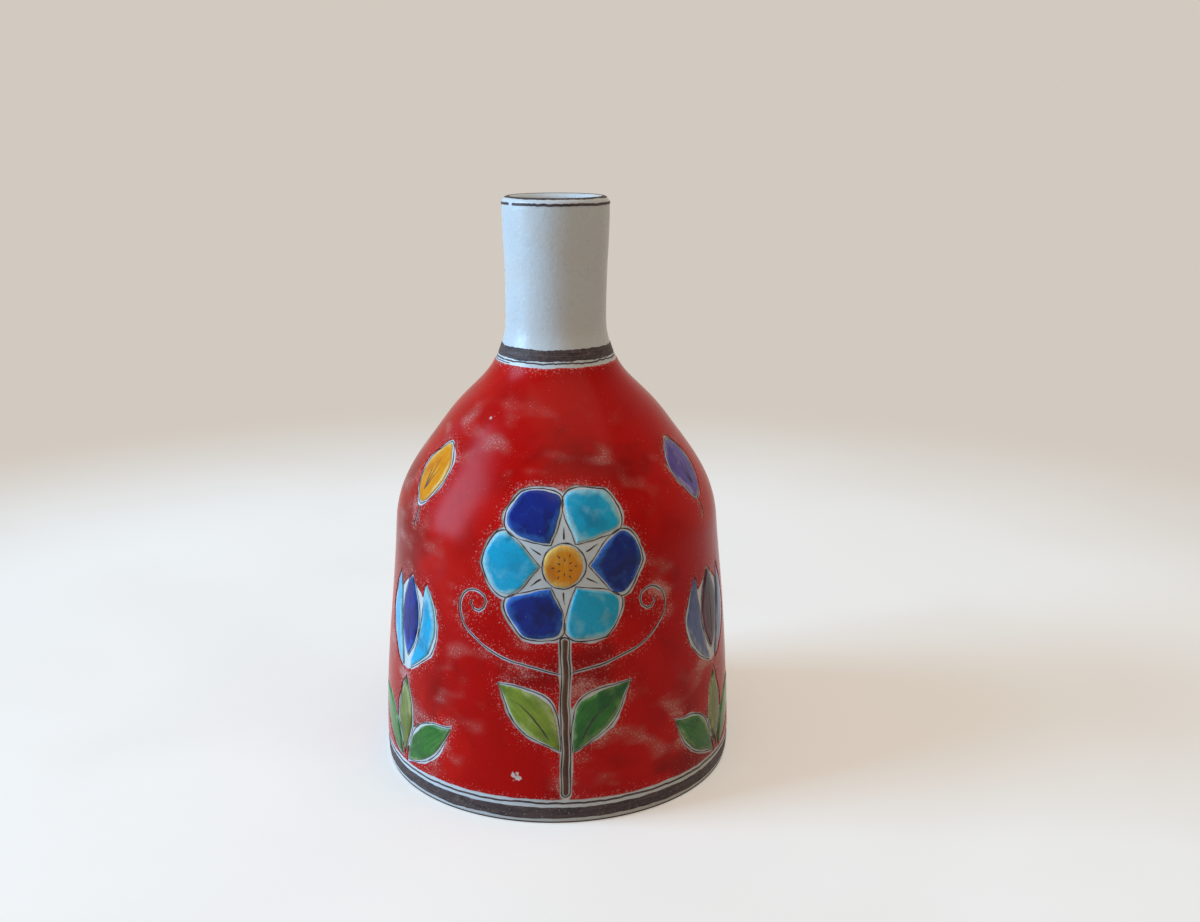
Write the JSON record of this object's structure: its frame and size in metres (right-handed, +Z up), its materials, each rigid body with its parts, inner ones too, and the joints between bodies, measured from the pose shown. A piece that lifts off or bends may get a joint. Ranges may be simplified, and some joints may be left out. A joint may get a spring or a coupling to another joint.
{
  "type": "painted vase",
  "caption": "Bottle vase with a slim upright neck over a broad bell-shaped body, glazed in coats and painted with plants, holding a few stems.",
  "frame": {"origin": "middle of the foot ring, on the surface that the vase stands on", "axes": "+Z up along the vase's turning axis; -Y towards the viewer of the picture, +X to the viewer's right"},
  "size_m": [0.1272, 0.1275, 0.2049],
  "materials": {
    "terracotta": "matte",
    "white_glaze": "satin",
    "red_glaze": "gloss",
    "manganese_slip": "matte",
    "turquoise_glaze": "gloss",
    "cobalt_glaze": "gloss",
    "teal_glaze": "gloss",
    "lime_glaze": "gloss",
    "leaf_green_glaze": "gloss",
    "olive_glaze": "gloss",
    "violet_glaze": "gloss",
    "orange_glaze": "gloss",
    "slate_blue_glaze": "gloss",
    "plum_glaze": "gloss",
    "brown_glaze": "gloss"
  },
  "bodies": {
    "root": {"clay_body": "terracotta", "white_glaze": "white_glaze", "lining_glaze": "white_glaze", "lip_line": "manganese_slip", "neck_band": "manganese_slip", "neck_line": "manganese_slip", "red_glaze": "red_glaze", "foot_line": "manganese_slip", "foot_band": "manganese_slip", "bloom_a_petal_1": "turquoise_glaze", "bloom_a_petal_2": "cobalt_glaze", "bloom_a_petal_3": "turquoise_glaze", "bloom_a_petal_4": "cobalt_glaze", "bloom_a_petal_5": "turquoise_glaze", "bloom_a_petal_6": "cobalt_glaze", "bloom_a_eye": "orange_glaze", "stem_a": "brown_glaze", "stem_leaf_a_left": "lime_glaze", "stem_leaf_a_right": "leaf_green_glaze", "bloom_b_petal_1": "lime_glaze", "bloom_b_petal_2": "teal_glaze", "bloom_b_petal_3": "lime_glaze", "bloom_b_petal_4": "teal_glaze", "bloom_b_petal_5": "lime_glaze", "bloom_b_petal_6": "teal_glaze", "bloom_b_eye": "plum_glaze", "stem_b": "brown_glaze", "stem_leaf_b_left": "lime_glaze", "stem_leaf_b_right": "leaf_green_glaze", "bloom_c_petal_1": "slate_blue_glaze", "bloom_c_petal_2": "violet_glaze", "bloom_c_petal_3": "slate_blue_glaze", "bloom_c_petal_4": "violet_glaze", "bloom_c_petal_5": "slate_blue_glaze", "bloom_c_petal_6": "violet_glaze", "bloom_c_eye": "orange_glaze", "stem_c": "brown_glaze", "stem_leaf_c_left": "lime_glaze", "stem_leaf_c_right": "leaf_green_glaze", "bud_a_left": "slate_blue_glaze", "bud_a_right": "slate_blue_glaze", "bud_a_middle": "plum_glaze", "foot_leaf_a_left": "leaf_green_glaze", "foot_leaf_a_right": "leaf_green_glaze", "foot_leaf_a_middle": "olive_glaze", "fruit_a": "violet_glaze", "bud_b_left": "orange_glaze", "bud_b_right": "orange_glaze", "bud_b_middle": "brown_glaze", "foot_leaf_b_left": "leaf_green_glaze", "foot_leaf_b_right": "leaf_green_glaze", "foot_leaf_b_middle": "olive_glaze", "fruit_b": "turquoise_glaze", "bud_c_left": "turquoise_glaze", "bud_c_right": "turquoise_glaze", "bud_c_middle": "cobalt_glaze", "foot_leaf_c_left": "leaf_green_glaze", "foot_leaf_c_right": "leaf_green_glaze", "foot_leaf_c_middle": "olive_glaze", "fruit_c": "orange_glaze"}
  },
  "joints": []
}
